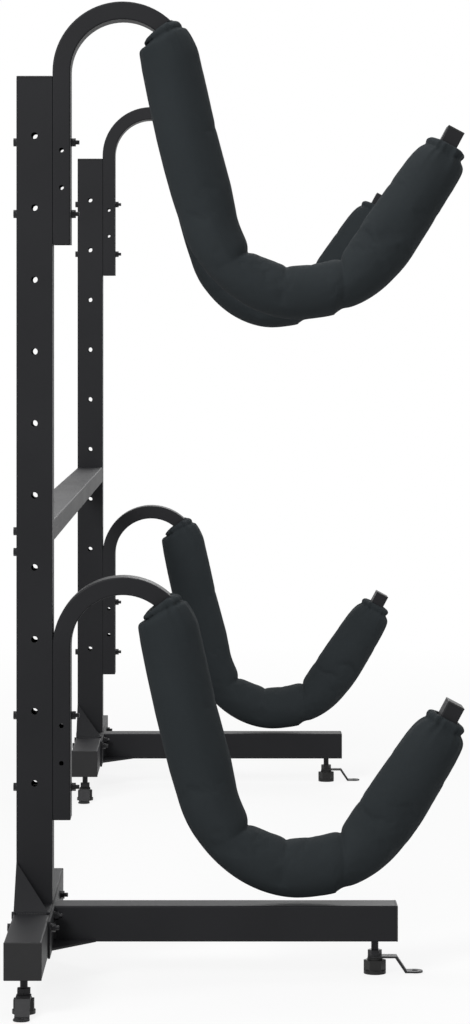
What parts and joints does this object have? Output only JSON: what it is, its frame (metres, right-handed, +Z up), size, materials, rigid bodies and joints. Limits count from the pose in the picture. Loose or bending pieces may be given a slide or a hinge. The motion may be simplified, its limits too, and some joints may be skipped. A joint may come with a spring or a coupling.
{
  "type": "freestanding kayak rack",
  "caption": "Freestanding steel rack: two drilled post frames joined by a crossbar carry padded hook arms for kayaks, on levelling feet with floor anchor straps.",
  "frame": {"origin": "on the floor, at the centre of the rack's own box", "axes": "+X from the posts towards the cradles' free ends, +Y along the kayak, +Z up"},
  "size_m": [0.6284, 2.678, 1.3545],
  "materials": {
    "frame_paint": "satin black powder coat",
    "sleeve_cloth": "matt black woven polyester sleeve",
    "cap_plastic": "fine-grained black plastic",
    "foot_plastic": "moulded black plastic",
    "black_fastener": "blackened steel",
    "strap_steel": "dull dark zinc"
  },
  "bodies": {
    "rack": {"left_post": "frame_paint", "right_post": "frame_paint", "post_caps": "cap_plastic", "left_base_rail": "frame_paint", "right_base_rail": "frame_paint", "base_rail_caps": "cap_plastic", "left_leg": "frame_paint", "right_leg": "frame_paint", "leg_caps": "cap_plastic", "left_post_gussets": "frame_paint", "right_post_gussets": "frame_paint", "left_leg_bracket": "frame_paint", "right_leg_bracket": "frame_paint", "leg_bolts": "black_fastener", "leg_nuts": "black_fastener", "left_crossbar": "frame_paint", "middle_crossbar": "frame_paint", "right_crossbar": "frame_paint", "crossbar_sleeves": "frame_paint", "crossbar_tongues": "frame_paint", "crossbar_bolts": "black_fastener", "left_upper_arm": "frame_paint", "left_lower_arm": "frame_paint", "right_upper_arm": "frame_paint", "right_lower_arm": "frame_paint", "arm_tip_caps": "cap_plastic", "arm_bolts": "black_fastener", "arm_nuts": "black_fastener", "left_upper_pad": "sleeve_cloth", "left_lower_pad": "sleeve_cloth", "right_upper_pad": "sleeve_cloth", "right_lower_pad": "sleeve_cloth", "foot_weld_nuts": "black_fastener"},
    "left_front_foot_body": {"left_front_foot": "foot_plastic", "left_front_stem": "black_fastener"},
    "left_front_strap_body": {"left_front_strap": "strap_steel"},
    "left_back_foot_body": {"left_back_foot": "foot_plastic", "left_back_stem": "black_fastener"},
    "left_back_strap_body": {"left_back_strap": "strap_steel"},
    "left_leg_foot_body": {"left_leg_foot": "foot_plastic", "left_leg_stem": "black_fastener"},
    "left_leg_strap_body": {"left_leg_strap": "strap_steel"},
    "right_front_foot_body": {"right_front_foot": "foot_plastic", "right_front_stem": "black_fastener"},
    "right_front_strap_body": {"right_front_strap": "strap_steel"},
    "right_back_foot_body": {"right_back_foot": "foot_plastic", "right_back_stem": "black_fastener"},
    "right_back_strap_body": {"right_back_strap": "strap_steel"},
    "right_leg_foot_body": {"right_leg_foot": "foot_plastic", "right_leg_stem": "black_fastener"},
    "right_leg_strap_body": {"right_leg_strap": "strap_steel"}
  },
  "joints": [
    {"name": "left_front_foot_level", "type": "slide", "parent": "rack", "child": "left_front_foot_body", "axis": [0, 0, 1], "range_m": [-0.012, 0.01]},
    {"name": "left_front_strap_swivel", "type": "hinge", "parent": "left_front_foot_body", "child": "left_front_strap_body", "pos_m": [-0.28365, -1.272, 0.02355], "axis": [0, 0, 1], "range_deg": [-90, 90]},
    {"name": "left_back_foot_level", "type": "slide", "parent": "rack", "child": "left_back_foot_body", "axis": [0, 0, 1], "range_m": [-0.012, 0.01]},
    {"name": "left_back_strap_swivel", "type": "hinge", "parent": "left_back_foot_body", "child": "left_back_strap_body", "pos_m": [-0.28365, -0.728, 0.02355], "axis": [0, 0, 1], "range_deg": [-90, 90]},
    {"name": "left_leg_foot_level", "type": "slide", "parent": "rack", "child": "left_leg_foot_body", "axis": [0, 0, 1], "range_m": [-0.012, 0.01]},
    {"name": "left_leg_strap_swivel", "type": "hinge", "parent": "left_leg_foot_body", "child": "left_leg_strap_body", "pos_m": [0.19035, -1, 0.02355], "axis": [0, 0, 1], "range_deg": [-90, 90]},
    {"name": "right_front_foot_level", "type": "slide", "parent": "rack", "child": "right_front_foot_body", "axis": [0, 0, 1], "range_m": [-0.012, 0.01]},
    {"name": "right_front_strap_swivel", "type": "hinge", "parent": "right_front_foot_body", "child": "right_front_strap_body", "pos_m": [-0.28365, 0.728, 0.02355], "axis": [0, 0, 1], "range_deg": [-90, 90]},
    {"name": "right_back_foot_level", "type": "slide", "parent": "rack", "child": "right_back_foot_body", "axis": [0, 0, 1], "range_m": [-0.012, 0.01]},
    {"name": "right_back_strap_swivel", "type": "hinge", "parent": "right_back_foot_body", "child": "right_back_strap_body", "pos_m": [-0.28365, 1.272, 0.02355], "axis": [0, 0, 1], "range_deg": [-90, 90]},
    {"name": "right_leg_foot_level", "type": "slide", "parent": "rack", "child": "right_leg_foot_body", "axis": [0, 0, 1], "range_m": [-0.012, 0.01]},
    {"name": "right_leg_strap_swivel", "type": "hinge", "parent": "right_leg_foot_body", "child": "right_leg_strap_body", "pos_m": [0.19035, 1, 0.02355], "axis": [0, 0, 1], "range_deg": [-90, 90]}
  ]
}
